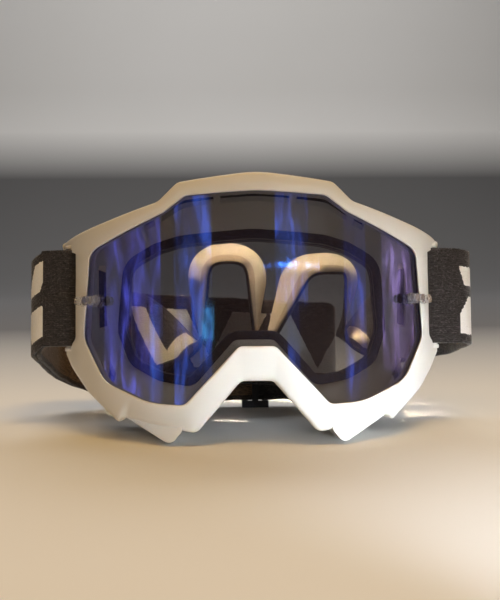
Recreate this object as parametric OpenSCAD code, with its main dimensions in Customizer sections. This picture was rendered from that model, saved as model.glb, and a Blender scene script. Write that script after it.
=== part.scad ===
// Motocross goggles with a cylindrical lens, a one-piece frame and a woven strap folded up behind.
// The pieces are drawn upright: X to the viewer's right, Y to the back, Z up, lens front at y = 0.
// set_down() then leans them back onto the frame's two lower lobes and the rear strap adjuster.

/* [Lens] */
// Angle that half of the lens opening spans on the cylinder that the lens is bent round
lens_wrap = 54.564; // [50:0.001:56]
// Thickness of the lens
lens_t = 1.3; // [0.8:0.1:1.4]
// Half width of the lens opening at the cheeks
lens_half = 77.4; // [75:0.1:78]
// Height of the top edge of the lens opening at the middle
lens_top = 106.8; // [104:0.1:110]
// Height of the bottom edge of the lens opening
lens_low = 16.4; // [14:0.1:19]
// Half width of the raised brow of the lens opening
brow_half = 30; // [24:0.5:34]
// Run of the step beside the brow
brow_run = 9.5; // [6:0.5:14]
// Drop of the step beside the brow
brow_drop = 6.6; // [3:0.1:9]
// Height of the upper outer corner of the lens opening
corner_z = 85.2; // [80:0.1:90]
// Height where the side of the lens opening turns in to the cheek
cheek_z = 46; // [42:0.5:52]
// Distance from the middle to the lowest point of the lens opening
lens_lobe_x = 30.8; // [28:0.1:34]
// Height of the nose arch of the lens opening
nose_z = 41; // [38:0.5:44]
// Half width of the flat of the nose arch
nose_half = 7.6; // [6:0.1:10]
// How far the lens reaches into the frame past the opening
lens_seat = 2.3; // [1.5:0.1:2.6]

/* [Rim] */
// Thickness of the lip in front of the lens
lip_t = 1.8; // [1.2:0.1:2.4]
// Depth of the rim behind its front face
rim_depth = 7; // [6:0.1:9]
// Width of the rim band over the brow
band_top = 8.3; // [6:0.1:11]
// Width of the rim band at the nose
band_nose = 14.6; // [10:0.1:17]
// Width of the rim band below the lens
band_low = 11.6; // [9:0.1:13]
// Width of the rim band beside the lens, where the strap comes out
band_side = 5.2; // [4:0.1:6.5]
// Width of the rim band at its upper shoulders
band_shoulder = 13.8; // [13:0.1:14.2]
// Width of the rim band at its lower shoulders
band_jowl = 11; // [9.5:0.1:12]
// Play all round the lens in its groove
lens_play = 0.15; // [0.1:0.05:0.25]

/* [Frame body] */
// Wall of the frame between the rim and the face flange
wall = 2.4; // [1.8:0.1:3]
// Depth of the face flange behind the lens at the middle
face_y = 40; // [36:0.5:46]
// Radius of the curve that the face flange follows
face_r = 98; // [94:1:106]
// How far the opening for the face is drawn in from the lens opening, at each side
face_in = 12.9; // [11:0.1:17]
// Height of the top of the opening for the face
face_top = 96; // [93:0.5:99]
// Width of the face flange
flange_w = 13; // [11:0.5:14]
// Thickness of the face flange
flange_t = 2.4; // [1.8:0.1:3]
// Width of a vent slot in the frame wall
vent_w = 6; // [3:0.5:7]
// Length of the lobes under the rim, front to back
lobe_len = 30; // [20:1:34]

/* [Foam] */
// Thickness of the face foam layer on the flange
foam_base_t = 5; // [3:0.5:6]
// Thickness of the middle face foam layer
foam_mid_t = 4; // [2.5:0.5:5]
// Thickness of the fleece against the face
fleece_t = 3; // [2:0.5:4]
// How far the foam reaches into the opening past the flange
foam_in = 4.4; // [0:0.2:5]
// Thickness of the filter foam over the vents
vent_foam_t = 3; // [2:0.5:4]

/* [Tear-off posts] */
// Distance of a post's hub from the side of the lens opening
post_in = 4.6; // [4.4:0.1:7]
// Height of the posts
post_z = 62.8; // [58:0.1:70]
// Radius of a post's knobs
knob_r = 1.9; // [1.4:0.1:2]
// Height of a knob above its bar
knob_h = 2.8; // [2:0.1:3.5]
// Radius of the stud through the lens
stud_r = 1.5; // [1:0.1:1.6]
// Distance from the hub to the knob over the rim
knob_out = 6.2; // [5:0.1:7]
// Distance from the hub to the knob over the lens
knob_in = 5; // [4.5:0.1:6]

/* [Strap] */
// Width of the strap webbing
strap_w = 45; // [38:0.5:45]
// Thickness of the strap webbing
strap_t = 2.2; // [1.5:0.1:2.4]
// Radius of the bar that carries the strap's end loop
bar_r = 2; // [1.5:0.1:2.2]
// Distance of the bar outside the rim's side
bar_out = 2.9; // [2.5:0.1:4.3]
// Distance of the bar behind the rim's side
bar_back = 7.53; // [7:0.01:8.5]
// Angle that the strap leaves the bar at, measured backward
strap_out = 12; // [6:1:16]
// Length of the sewn tab beyond the bar
tab_l = 9; // [7:0.5:10]
// How far the strap curls out from its bar
curl_out = 19; // [17:0.5:24]
// Depth of the rear run of the folded strap
rear_y = 122; // [118:0.5:126]
// Distance between the two straight runs of the folded strap
run_gap = 10; // [9:0.5:14]
// Half width of the right fold between the straight runs
fold_x = 45; // [40:1:48]
// Height of the lower edge of the rear run
rear_run_z = 15.5; // [13:0.5:20]
// Depth of the middle of the two arches that the strap makes behind the lens
arch_y = 84; // [83.5:0.1:84.5]
// Height of the middle line of the left arch
arch_left_z = 90; // [84:0.5:92]
// Height of the middle line of the right arch
arch_right_z = 85; // [80:0.5:88]
// Height of the middle line at the feet of the arches
foot_z = 43; // [41:0.5:46]
// Flare of the two arches toward the back
arch_flare = 18; // [0:1:20]

/* [Adjuster] */
// Width of the adjuster along the strap
slider_w = 14; // [12:0.5:18]
// Thickness of the bars of the adjuster
slider_bar = 1.8; // [1.4:0.1:2.2]
// Height of each end of the adjuster
slider_end = 3.5; // [3:0.1:4.5]
// Resting place of the adjuster on the rear run
slider_x = 3; // [-8:1:8]

/* [Hidden] */
$fn = 96;

white = "ivory";
black = [0.09, 0.08, 0.09];
foam_dark = [0.14, 0.13, 0.2];

// Clearance between pieces that rest against each other, and between layers of foam
clear = 0.3;
foam_gap = 0.5;
// Play between the strap and the adjuster
slider_play = 0.5;
lens_r = lens_half / sin(lens_wrap);
rim_side = lens_half + band_side;
face_half = lens_half - face_in;
post_x = lens_half - post_in;
bar_x = rim_side + bar_out;
bar_y = lens_depth(rim_side, 0) + bar_back;
curl_x = bar_x + curl_out;
groove_d = lip_t + lens_t + 2 * lens_play;
lug_t = 1.8;
lug_gap = 0.6;
lug_low = (corner_z + cheek_z) / 2 - strap_w / 2;
loop_r = bar_r + clear + strap_t;
flex_l = 3;
bar_w = 3.3;
layer = strap_t + clear;
lobe_y = 20;
skirt_x = lens_half - 19.8;
skim = 0.5;

// Outlines of the right half, from the top middle to the nose, as [x, z, corner radius]
lens_half_line = [
    [0, lens_top, 60],
    [brow_half, lens_top - 1.4, 6],
    [brow_half + brow_run, lens_top - 1.4 - brow_drop, 8],
    [lens_half - 3.2, corner_z, 7],
    [lens_half, cheek_z, 11],
    [lens_half - 10.9, cheek_z - 19.6, 15],
    [lens_lobe_x + 15, lens_low + 1, 30],
    [lens_lobe_x, lens_low, 5],
    [nose_half, nose_z, 4]
];
rim_half_line = [
    [0, lens_top + band_top, 60],
    [brow_half + 3.5, lens_top + band_top - 3.6, 5],
    [brow_half + brow_run + 2.5, lens_top + band_top - 11.4, 7],
    [brow_half + brow_run + 28, lens_top - 9.2, 40],
    [lens_half + band_shoulder, corner_z + 7.6, 1.5],
    [lens_half + band_shoulder - 0.7, corner_z + 4.4, 0.8],
    [rim_side, corner_z + 2, 1.2],
    [rim_side - 0.2, cheek_z + 0.2, 4],
    [lens_half + band_jowl, cheek_z - 5.4, 2.5],
    [lens_half + band_jowl - 2.8, cheek_z - 12, 5],
    [lens_half + band_jowl - 13, cheek_z - 24, 12],
    [skirt_x + 2.4, lens_low - 7.6, 1.5],
    [skirt_x - 0.8, lens_low - 5.6, 1.2],
    [lens_lobe_x - 5, lens_low - band_low - 0.4, 5],
    [nose_half - 0.7, nose_z - band_nose, 4]
];
face_half_line = [
    [0, face_top, 60],
    [face_half - 30.5, face_top - 2.3, 20],
    [face_half - 18.5, face_top - 5.2, 20],
    [face_half - 3, face_top - 13, 12],
    [face_half, cheek_z + 4, 14],
    [face_half - 6.5, cheek_z - 12, 12],
    [lens_lobe_x + 13.2, lens_low + 10.1, 20],
    [lens_lobe_x - 2.8, lens_low + 7.1, 8],
    [nose_half + 1.4, nose_z + 4, 5]
];

function both(half) = concat(half, [for (i = [len(half) - 1 : -1 : 0])
    if (half[i][0] > 0) [-half[i][0], half[i][1], half[i][2]]]);
function unit(v) = v / norm(v);
function xy(p) = [p[0], p[1]];
function normal(a, b) = unit([a[1] - b[1], b[0] - a[0]]);

// A parallel outline, moved outward by d, with its corner radii following
function grow(line, d) = let (n = len(line)) [for (i = [0 : n - 1]) let (
    a = line[(i + n - 1) % n], p = line[i], b = line[(i + 1) % n],
    n1 = normal(a, p), n2 = normal(p, b),
    turn = (p[0] - a[0]) * (b[1] - p[1]) - (p[1] - a[1]) * (b[0] - p[0]),
    q = xy(p) + d * (n1 + n2) / (1 + n1 * n2))
    [q[0], q[1], max(0.5, p[2] + (turn < 0 ? d : -d))]];

// Points round one corner at p, between a and b. What a point carries past z follows along.
function place(v) = len(v) > 3 ? [v[0], v[1], v[2]] : v;
function bend(a, p, b, r, steps, share_a, share_b) = let (
    u = place(a - p), w = place(b - p), long_a = norm(u), long_b = norm(w),
    half = acos(max(-1, min(1, u * w / (long_a * long_b)))) / 2,
    t = min(r / tan(half), share_a * long_a, share_b * long_b),
    start = p + (a - p) * t / long_a, end = p + (b - p) * t / long_b)
    [for (k = [0 : steps]) let (f = k / steps)
        (1 - f) * (1 - f) * start + 2 * f * (1 - f) * p + f * f * end];

// A closed outline with round corners of "steps" pieces, each straight stretch cut into "parts"
function rounded(line, parts = 1, steps = 3) = let (n = len(line), corners = [for (i = [0 : n - 1])
    bend(xy(line[(i + n - 1) % n]), xy(line[i]), xy(line[(i + 1) % n]), line[i][2], steps, 0.48, 0.48)])
    [for (i = [0 : n - 1]) each concat(corners[i], [for (k = [1 : 1 : parts - 1])
        let (e = corners[i][steps], s = corners[(i + 1) % n][0]) e + (s - e) * k / parts])];

lens_line = both(lens_half_line);
rim_line = both(rim_half_line);
face_line = both(face_half_line);

// Depth of the lens cylinder at x, d below its front, and of the face curve at x
function lens_depth(x, d) = lens_r - sqrt((lens_r - d) * (lens_r - d) - x * x);
function face_depth(x) = face_y + face_r - sqrt(face_r * face_r - x * x);

// Space loops for the lofted rings, with six stations at each corner of the outline
function on_lens(line, d) = [for (p = rounded(line, 3, 3)) [p[0], lens_depth(p[0], d), p[1]]];
function on_face(line, back) = [for (p = rounded(line, 3, 3)) [p[0], face_depth(p[0]) + back, p[1]]];

// A ring lofted through closed loops of equally many points, the last joined to the first
module ring(loops) {
    n = len(loops[0]);
    m = len(loops);
    points = [for (loop = loops) each loop];
    faces = [for (k = [0 : m - 1], i = [0 : n - 1]) let (
        a = k * n + i, b = k * n + (i + 1) % n,
        c = ((k + 1) % m) * n + (i + 1) % n, d = ((k + 1) % m) * n + i)
        each [[a, b, c], [a, c, d]]];
    polyhedron(points, faces);
}

// A prism of an outline, standing along Y from y0 to y1
module prism(line, y0, y1) {
    translate([0, y1, 0]) rotate([90, 0, 0]) linear_extrude(y1 - y0) polygon(rounded(line));
}

// The shell of the lens cylinder between two depths
module wrap(d0, d1) {
    translate([0, lens_r, -20]) difference() {
        cylinder(r = lens_r - d0, h = 160, $fn = 180);
        translate([0, 0, -1]) cylinder(r = lens_r - d1, h = 162, $fn = 180);
    }
}

// The slope that the finished goggles stand on, and how they are set down on it
slider_reach = slider_bar + slider_play;
slider_z = rear_run_z - slider_play - slider_end;
lean = atan((slider_z + skim) / (rear_y - lobe_y));
slider_back = rear_y + strap_t / 2 + slider_reach;
slider_top = rear_run_z + strap_w + slider_play + slider_end;
front_edge = (nose_z - band_nose) * sin(lean);
back_edge = slider_back * cos(lean) + slider_top * sin(lean);

module set_down() {
    translate([0, -(front_edge + back_edge) / 2, lobe_y * sin(lean)]) rotate([-lean, 0, 0]) children();
}

module above_floor() {
    difference() {
        children();
        translate([-150, -150, -50]) cube([300, 300, 50]);
    }
}

module both_sides() {
    children();
    mirror([1, 0, 0]) children();
}

// Frame
module rim() {
    difference() {
        intersection() {
            wrap(0, rim_depth);
            union() {
                prism(rim_line, -1, bar_y + 2.4);
                both_sides() intersection() {
                    prism(rim_line, -1, bar_y + 9.4);
                    translate([rim_side - 0.6, 0, corner_z]) cube([band_shoulder, 2 * bar_y, 2 * band_shoulder]);
                }
            }
        }
        prism(lens_line, -2, lens_r);
        intersection() {
            wrap(lip_t, groove_d);
            prism(grow(lens_line, lens_seat + lens_play), -2, lens_r);
        }
    }
}

module vents() {
    // Slots through the wall over the brow
    intersection() {
        wrap(rim_depth + 1.5, rim_depth + 1.5 + vent_w);
        union() {
            translate([-15, 0, face_top - 6]) cube([30, 60, 40]);
            both_sides() {
                translate([brow_half - 12, 0, face_top - 8]) cube([23, 60, 40]);
                translate([brow_half + 14, 0, face_top - 12]) cube([5, 60, 40]);
            }
        }
    }
    // Windows through the wall beside the cheeks
    intersection() {
        wrap(rim_depth + 1.5, rim_depth + 1.5 + vent_w);
        both_sides() for (x = [lens_half - 14, lens_half - 9.6])
            translate([x, 0, 0]) cube([3.2, bar_y, cheek_z - 10]);
    }
    // A tall slot through each side wall
    both_sides() translate([face_half + 4.5, bar_y - 10, cheek_z + 5]) cube([3.5, 20, 30]);
}

module body_walls() {
    root = rim_depth - 2;
    difference() {
        ring([
            on_lens(grow(lens_line, 1), root),
            on_face(face_line, 0),
            on_face(grow(face_line, flange_w), 0),
            on_face(grow(face_line, flange_w), -flange_t),
            on_face(grow(face_line, wall), -flange_t),
            on_lens(grow(lens_line, wall + 1), root)
        ]);
        vents();
    }
}

// The lobe under the rim on the right, which the goggles stand on
module lobe() {
    low = lens_low - band_low;
    line = [
        [lens_lobe_x + 0.5, low + 8, 0.5], [skirt_x + 0.8, low + 13, 0.5],
        [skirt_x + 0.4, low + 7.2, 1], [lens_lobe_x + 6, low - 5.2, 3.5], [lens_lobe_x + 1.2, low + 0.5, 1.5]
    ];
    intersection() {
        prism(line, 0, lobe_y + lobe_len / 2 + 12);
        wrap(3, lobe_len);
    }
}

// The skirt that carries the outer lower edge of the rim backward on the right
module cheek_skirt() {
    intersection() {
        difference() {
            prism(rim_line, -1, bar_y + 6.4);
            prism(grow(rim_line, -3), -2, bar_y + 7.4);
        }
        wrap(1, 16);
        translate([skirt_x, 0, 0]) cube([rim_side, 2 * bar_y, cheek_z - 2]);
    }
}

// The two lugs and the bar that hold the strap's end on the right
module strap_mount() {
    for (z = [lug_low - lug_gap - lug_t, lug_low + strap_w + lug_gap])
        translate([0, 0, z]) linear_extrude(lug_t)
            polygon([[bar_x - 10.5, bar_y - 4], [bar_x - 5, bar_y - 5], [bar_x + 2.6, bar_y - 1.5],
                [bar_x + 2.6, bar_y + 3], [bar_x, bar_y + 4.4], [bar_x - 10.5, bar_y + 4.4]]);
    translate([bar_x, bar_y, lug_low - lug_gap - 1]) cylinder(r = bar_r, h = strap_w + 2 * lug_gap + 2);
}

module strap_room() {
    translate([bar_x, bar_y, lug_low - lug_gap])
        cylinder(r = loop_r + 0.9, h = strap_w + 2 * lug_gap);
}

module frame_shell() {
    color(white) above_floor() set_down() {
        difference() {
            union() {
                rim();
                body_walls();
                both_sides() {
                    lobe();
                    cheek_skirt();
                }
            }
            both_sides() strap_room();
        }
        both_sides() strap_mount();
    }
}

// Lens and the posts on it
module at_post(side) {
    translate([0, lens_r, post_z]) rotate([0, 0, side * asin(post_x / lens_r)])
        translate([0, -lens_r, 0]) rotate([90, 0, 0]) children();
}

module lens() {
    d0 = lip_t + lens_play;
    color([0.3, 0.35, 0.85, 0.45]) set_down() difference() {
        intersection() {
            wrap(d0, d0 + lens_t);
            prism(grow(lens_line, lens_seat), -2, bar_y + 2);
        }
        for (side = [-1, 1]) at_post(side) translate([0, 0, -10]) cylinder(r = stud_r + 0.1, h = 20);
    }
}

bar_z = 0.6;
bar_h = 1;
knob_foot = 0.35;
lens_back = lip_t + lens_play + lens_t;

module tear_off_post(side) {
    color([0.85, 0.87, 0.9, 0.6]) set_down() at_post(side) {
        foot = lip_t + lens_play - 0.02;
        for (x = [-side * knob_in, 0, side * knob_out]) translate([x, 0, bar_z]) {
            cylinder(r = knob_r, h = bar_h + knob_h);
            cylinder(r = knob_r + knob_foot, h = bar_h);
        }
        translate([-(side > 0 ? knob_in : knob_out), -0.8, bar_z])
            cube([knob_in + knob_out, 1.6, bar_h]);
        translate([0, 0, -foot]) cylinder(r = knob_r + 0.7, h = 0.9);
        translate([0, 0, -foot]) cylinder(r = knob_r, h = foot + bar_z + 0.1);
        translate([0, 0, -lens_back - 2]) cylinder(r = stud_r, h = lens_back + 2);
    }
}

module post_retainer(side) {
    color([0.8, 0.82, 0.86, 0.6]) set_down() at_post(side) translate([0, 0, -lens_back - 1.3])
        difference() {
            cylinder(r = knob_r + 1.2, h = 1.2);
            translate([0, 0, -1]) cylinder(r = stud_r + 0.05, h = 4);
        }
}

// Face foam, as rings with drawn-in sides behind the flange
module foam_layer(back, t, inner, outer, draw) {
    color(foam_dark) set_down() ring([
        on_face(grow(face_line, inner), back),
        on_face(grow(face_line, inner + draw), back + t / 2),
        on_face(grow(face_line, inner), back + t),
        on_face(grow(face_line, outer), back + t),
        on_face(grow(face_line, outer - draw), back + t / 2),
        on_face(grow(face_line, outer), back)
    ]);
}

module face_foam_base() {
    foam_layer(foam_gap, foam_base_t, 0.2 - foam_in, flange_w - 0.4, 0.35);
}

module face_foam_mid() {
    foam_layer(2 * foam_gap + foam_base_t, foam_mid_t, -foam_in, flange_w - 0.7, 0.3);
}

module face_fleece() {
    back = 3 * foam_gap + foam_base_t + foam_mid_t;
    mid = (flange_w - foam_in) / 2;
    color([0.1, 0.09, 0.1]) set_down() ring([
        on_face(grow(face_line, 0.1 - foam_in), back),
        on_face(grow(face_line, -foam_in), back + fleece_t * 0.5),
        on_face(grow(face_line, 1.4 - foam_in), back + fleece_t * 0.86),
        on_face(grow(face_line, mid), back + fleece_t),
        on_face(grow(face_line, flange_w - 2.2), back + fleece_t * 0.86),
        on_face(grow(face_line, flange_w - 0.8), back + fleece_t * 0.5),
        on_face(grow(face_line, flange_w - 0.9), back)
    ]);
}

// A bar through cross-sections of four points each
module tube(sections) {
    n = len(sections);
    skin = [for (i = [0 : n - 2], k = [0 : 3]) let (
        a = 4 * i + k, b = 4 * i + (k + 1) % 4, c = b + 4, d = a + 4)
        each [[a, c, b], [a, d, c]]];
    ends = [[0, 1, 2], [0, 2, 3], [4 * n - 4, 4 * n - 2, 4 * n - 3], [4 * n - 4, 4 * n - 1, 4 * n - 2]];
    polyhedron([for (section = sections) each section], concat(skin, ends));
}

// Filter foam on the outside of the frame's wall, along some stations of its outline, between
// two fractions of the way from the rim to the face flange
module wall_foam(stations, t, from, to) {
    root = rim_depth + clear;
    near = [for (d = [clear, clear + t]) on_lens(grow(lens_line, wall + 1 + d), root)];
    far = [for (d = [clear, clear + t]) on_face(grow(face_line, wall + d), -flange_t - clear)];
    n = len(near[0]);
    color(foam_dark) set_down() tube([for (i = stations) let (j = (i + n) % n)
        [for (c = [[0, from], [0, to], [1, to], [1, from]])
            near[c[0]][j] * (1 - c[1]) + far[c[0]][j] * c[1]]]);
}

// A station's partner on the other side of the outline
function partner(i) = 3 - i;

module vent_foam_top() {
    wall_foam([partner(16) : 16], vent_foam_t, 0.04, 0.62);
}

module vent_foam_lower(side) {
    wall_foam(side > 0 ? [30 : 33] : [partner(33) : partner(30)], vent_foam_t - 0.5, 0.04, 0.6);
}

module vent_foam_side(side) {
    wall_foam(side > 0 ? [21 : 24] : [partner(24) : partner(21)], vent_foam_t - 1, 0.4, 0.94);
}

// Strap
module at_bar(side) {
    mirror([side > 0 ? 0 : 1, 0, 0]) translate([bar_x, bar_y, lug_low]) rotate([0, 0, strap_out]) children();
}

module strap_loop(side) {
    color(black) set_down() at_bar(side) linear_extrude(strap_w) difference() {
        union() {
            circle(r = loop_r);
            polygon([[0, -loop_r], [tab_l, -loop_r], [tab_l, -loop_r + strap_t + layer],
                [tab_l - 2, -loop_r + strap_t + layer], [loop_r * sin(20), loop_r * cos(20)]]);
        }
        circle(r = bar_r + clear);
    }
}

module strap_flex(side) {
    color(black) set_down() at_bar(side) translate([tab_l + 0.1, -loop_r, 0])
        cube([flex_l, strap_t + layer, strap_w]);
}

// Where the band starts, past the loop and its flexing stretch, on the right
start_l = tab_l + flex_l + 0.2;
start_side = loop_r - strap_t / 2;
start_x = bar_x + start_l * cos(strap_out) + start_side * sin(strap_out);
start_y = bar_y + start_l * sin(strap_out) - start_side * cos(strap_out);
curl_y = start_y + (curl_x - start_x) * tan(strap_out);

// The strap's middle line from the right bar to the left one, as x, y, z, roll and corner radius,
// and the twist about the line where there is one.
// A roll of 0 stands the webbing on edge, and one of 90 lays it flat.
bar_mid = lug_low + strap_w / 2;
rear_mid = rear_run_z + strap_w / 2;
right_turn = [
    [start_x, start_y, bar_mid, 0, 0],
    [curl_x, curl_y, bar_mid - 0.5, 0, 12],
    [curl_x - 3, arch_y + 14, bar_mid - 5, 0, 16],
    [78, arch_y + 15, foot_z + 14, 6, 14],
    [66, arch_y + 11, foot_z + 10, 34, 8]
];
arches = [
    [44, arch_y + 1, foot_z + 1, 90, 5],
    [53, arch_y, arch_right_z, 90, 16, arch_flare],
    [25, arch_y, arch_right_z - 1, 90, 14, arch_flare],
    [8.5, arch_y, foot_z, 90, 2.6],
    [1.5, arch_y, foot_z, 90, 2.6],
    [3.5, arch_y, arch_left_z, 90, 15, arch_flare],
    [-26.5, arch_y, arch_left_z, 90, 15, arch_flare],
    [-24, arch_y + 1, foot_z - 1, 90, 6],
    [-44, arch_y + 6, foot_z + 4, 42, 10]
];
folds = [
    [-60, arch_y + 10, foot_z + 7, 0, 8],
    [-60, rear_y - run_gap, foot_z + 7, 0, 8],
    [fold_x, rear_y - run_gap, foot_z + 1, 0, run_gap / 2],
    [fold_x, rear_y, rear_mid, 0, run_gap / 2]
];
left_turn = [
    [-curl_x + 34, rear_y, rear_mid, 0, 60],
    [-curl_x + 4, rear_y - 10, (rear_mid + bar_mid) / 2 - 3, 0, 60],
    [-curl_x, curl_y, bar_mid - 4, 0, 12],
    [-start_x, start_y, bar_mid, 0, 0]
];

// An open path with round corners, with more points where the webbing rolls or twists
function posed(p) = [p[0], p[1], p[2], p[3], len(p) > 5 ? p[5] : 0];
function route(line) = let (n = len(line), bends = concat([[posed(line[0])]], [for (i = [1 : n - 2])
    bend(posed(line[i - 1]), posed(line[i]), posed(line[i + 1]), line[i][4], 6,
        i == 1 ? 0.95 : 0.49, i == n - 2 ? 0.95 : 0.49)], [[posed(line[n - 1])]]))
    [for (i = [0 : n - 1]) each concat(bends[i], i == n - 1 ? [] : let (
        a = bends[i][len(bends[i]) - 1], b = bends[i + 1][0],
        parts = abs(b[3] - a[3]) + abs(b[4] - a[4]) > 4 ? 4 : 1)
        [for (k = [1 : 1 : parts - 1]) a + (b - a) * k / parts])];

// Webbing swept along a path, moved sideways off the path by "aside"
module webbing(line, aside = 0) {
    path = route(line);
    n = len(path);
    tube([for (i = [0 : n - 1]) let (
        t = place(path[min(i + 1, n - 1)] - path[max(i - 1, 0)]),
        upright = [0, sin(path[i][3]), cos(path[i][3])], face = unit(cross(upright, t)), twist = path[i][4],
        across = upright * cos(twist) + face * sin(twist), side = face * cos(twist) - upright * sin(twist))
        [for (c = [[-1, -1], [1, -1], [1, 1], [-1, 1]])
            place(path[i]) + side * (aside + c[0] * strap_t / 2) + across * c[1] * strap_w / 2]]);
}

module strap_band() {
    color(black) set_down() webbing(concat(right_turn, arches, folds, left_turn));
}

module strap_return() {
    line = concat([[slider_x, rear_y, rear_mid, 0, 0]], left_turn);
    color(black) set_down() webbing(line, layer);
}

// The adjuster round the strap's rear run, with one bar before it and two behind
module strap_adjuster() {
    front = rear_y - strap_t / 2 - layer - slider_play;
    back = rear_y + strap_t / 2 + slider_play;
    depth = back - front + 2 * slider_bar;
    height = strap_w + 2 * slider_play;
    color([0.12, 0.12, 0.13]) above_floor() set_down()
        translate([slider_x - slider_w / 2, front - slider_bar, rear_run_z - slider_play]) {
            translate([0, 0, -slider_end]) cube([slider_w, depth, slider_end]);
            translate([0, 0, height]) cube([slider_w, depth, slider_end]);
            for (x = [0, slider_w - bar_w])
                translate([x, depth - slider_bar, -1]) cube([bar_w, slider_bar, height + 2]);
            translate([(slider_w - bar_w) / 2, 0, -1]) cube([bar_w, slider_bar, height + 2]);
        }
}

frame_shell();
lens();
tear_off_post(-1);  // tear_off_post_left
tear_off_post(1);  // tear_off_post_right
post_retainer(-1);  // post_retainer_left
post_retainer(1);  // post_retainer_right
face_foam_base();
face_foam_mid();
face_fleece();
vent_foam_top();
vent_foam_lower(-1);  // vent_foam_lower_left
vent_foam_lower(1);  // vent_foam_lower_right
vent_foam_side(-1);  // vent_foam_side_left
vent_foam_side(1);  // vent_foam_side_right
strap_loop(-1);  // strap_loop_left
strap_loop(1);  // strap_loop_right
strap_flex(-1);  // strap_flex_left
strap_flex(1);  // strap_flex_right
strap_band();
strap_return();
strap_adjuster();
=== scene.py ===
import math
import bpy
import numpy as np
from mathutils import Matrix


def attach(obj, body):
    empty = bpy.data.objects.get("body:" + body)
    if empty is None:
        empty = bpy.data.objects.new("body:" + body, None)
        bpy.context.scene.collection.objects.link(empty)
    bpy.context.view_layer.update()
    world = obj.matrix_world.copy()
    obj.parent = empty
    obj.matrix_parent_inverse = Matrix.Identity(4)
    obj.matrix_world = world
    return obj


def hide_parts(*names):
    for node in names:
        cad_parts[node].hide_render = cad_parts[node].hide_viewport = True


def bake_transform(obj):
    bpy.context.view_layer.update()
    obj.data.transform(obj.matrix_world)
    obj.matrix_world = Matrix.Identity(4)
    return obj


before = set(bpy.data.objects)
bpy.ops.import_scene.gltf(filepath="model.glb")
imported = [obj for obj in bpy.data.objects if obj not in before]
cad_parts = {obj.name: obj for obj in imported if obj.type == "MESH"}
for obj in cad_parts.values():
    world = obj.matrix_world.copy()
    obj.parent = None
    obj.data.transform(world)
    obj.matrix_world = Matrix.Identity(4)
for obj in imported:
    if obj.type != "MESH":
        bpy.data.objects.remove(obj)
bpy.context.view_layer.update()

# Driving values of the part's source, in millimetres, in its upright drawing frame
lens_r, lens_t, lens_seat, lens_play = 95, 1.3, 2.3, 0.15
lens_half, lens_top, lens_low = 77.4, 106.8, 16.4
brow_half, brow_run, brow_drop = 30, 9.5, 6.6
corner_z, cheek_z, lens_lobe_x, nose_z, nose_half = 85.2, 46, 30.8, 41, 7.6
lip_t, rim_depth, band_top, band_nose, band_low = 1.8, 7, 8.3, 14.6, 11.6
rim_side, shoulder_x, jowl_x = 82.6, 91.2, 88.4
wall, face_y, face_r, face_half, face_top = 2.4, 40, 98, 64.5, 96
flange_w, flange_t, vent_w, lobe_len, lobe_y = 13, 2.4, 6, 30, 20
foam_gap, foam_base_t, foam_mid_t, fleece_t, foam_in = 0.5, 5, 4, 3, 4.4
strap_w, strap_t, bar_r, bar_x, bar_y, strap_out, tab_l = 45, 2.2, 2, 85.5, 55.6, 12, 9
curl_x, rear_y, run_gap, fold_x, rear_run_z = 104.5, 122, 10, 45, 15.5
arch_y, arch_left_z, arch_right_z, foot_z, arch_flare = 84, 90, 85, 43, 18
slider_bar, slider_end, slider_x, slider_play, skim = 1.8, 3.5, 3, 0.5, 0.5
clear, lug_t, lug_gap, flex_l = 0.3, 1.8, 0.6, 3
lug_low = (corner_z + cheek_z) / 2 - strap_w / 2
loop_r = bar_r + clear + strap_t
layer = strap_t + clear

# How the drawing frame is set down in the row frame
lean = math.atan((rear_run_z - slider_play - slider_end + skim) / (rear_y - lobe_y))
SIN, COS = math.sin(lean), math.cos(lean)
slider_back = rear_y + strap_t / 2 + slider_bar + slider_play
slider_top = rear_run_z + strap_w + slider_play + slider_end
MID_Y = ((nose_z - band_nose) * SIN + slider_back * COS + slider_top * SIN) / 2


def turned(v):
    """Directions of the drawing frame, as they are in the row frame."""
    v = np.atleast_2d(np.asarray(v, float))
    return np.stack([v[:, 0], v[:, 1] * COS + v[:, 2] * SIN, -v[:, 1] * SIN + v[:, 2] * COS], 1)


def row(points):
    """Points of the drawing frame, in millimetres, as points of the row frame, in metres."""
    return (turned(points) + np.array([0, -MID_Y, lobe_y * SIN])) / 1000


# Outlines of the right half, from the top middle to the nose, as [x, z, corner radius]
LENS_HALF = [
    [0, lens_top, 60], [brow_half, lens_top - 1.4, 6],
    [brow_half + brow_run, lens_top - 1.4 - brow_drop, 8], [lens_half - 3.2, corner_z, 7],
    [lens_half, cheek_z, 11], [lens_half - 10.9, cheek_z - 19.6, 15],
    [lens_lobe_x + 15, lens_low + 1, 30], [lens_lobe_x, lens_low, 5], [nose_half, nose_z, 4]]
RIM_HALF = [
    [0, lens_top + band_top, 60], [brow_half + 3.5, lens_top + band_top - 3.6, 5],
    [brow_half + brow_run + 2.5, lens_top + band_top - 11.4, 7],
    [brow_half + brow_run + 28, lens_top - 9.2, 40],
    [shoulder_x, corner_z + 7.6, 1.5], [shoulder_x - 0.7, corner_z + 4.4, 0.8],
    [rim_side, corner_z + 2, 1.2], [rim_side - 0.2, cheek_z + 0.2, 4],
    [jowl_x, cheek_z - 5.4, 2.5], [jowl_x - 2.8, cheek_z - 12, 5], [jowl_x - 13, cheek_z - 24, 12],
    [60, lens_low - 7.6, 1.5], [56.8, lens_low - 5.6, 1.2],
    [lens_lobe_x - 5, lens_low - band_low - 0.4, 5], [nose_half - 0.7, nose_z - band_nose, 4]]
FACE_HALF = [
    [0, face_top, 60], [34, face_top - 2.3, 20], [46, face_top - 5.2, 20],
    [face_half - 3, face_top - 13, 12], [face_half, 50, 14], [face_half - 6.5, 34, 12],
    [44, 26.5, 20], [28, 23.5, 8], [9, 45, 5]]


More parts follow.
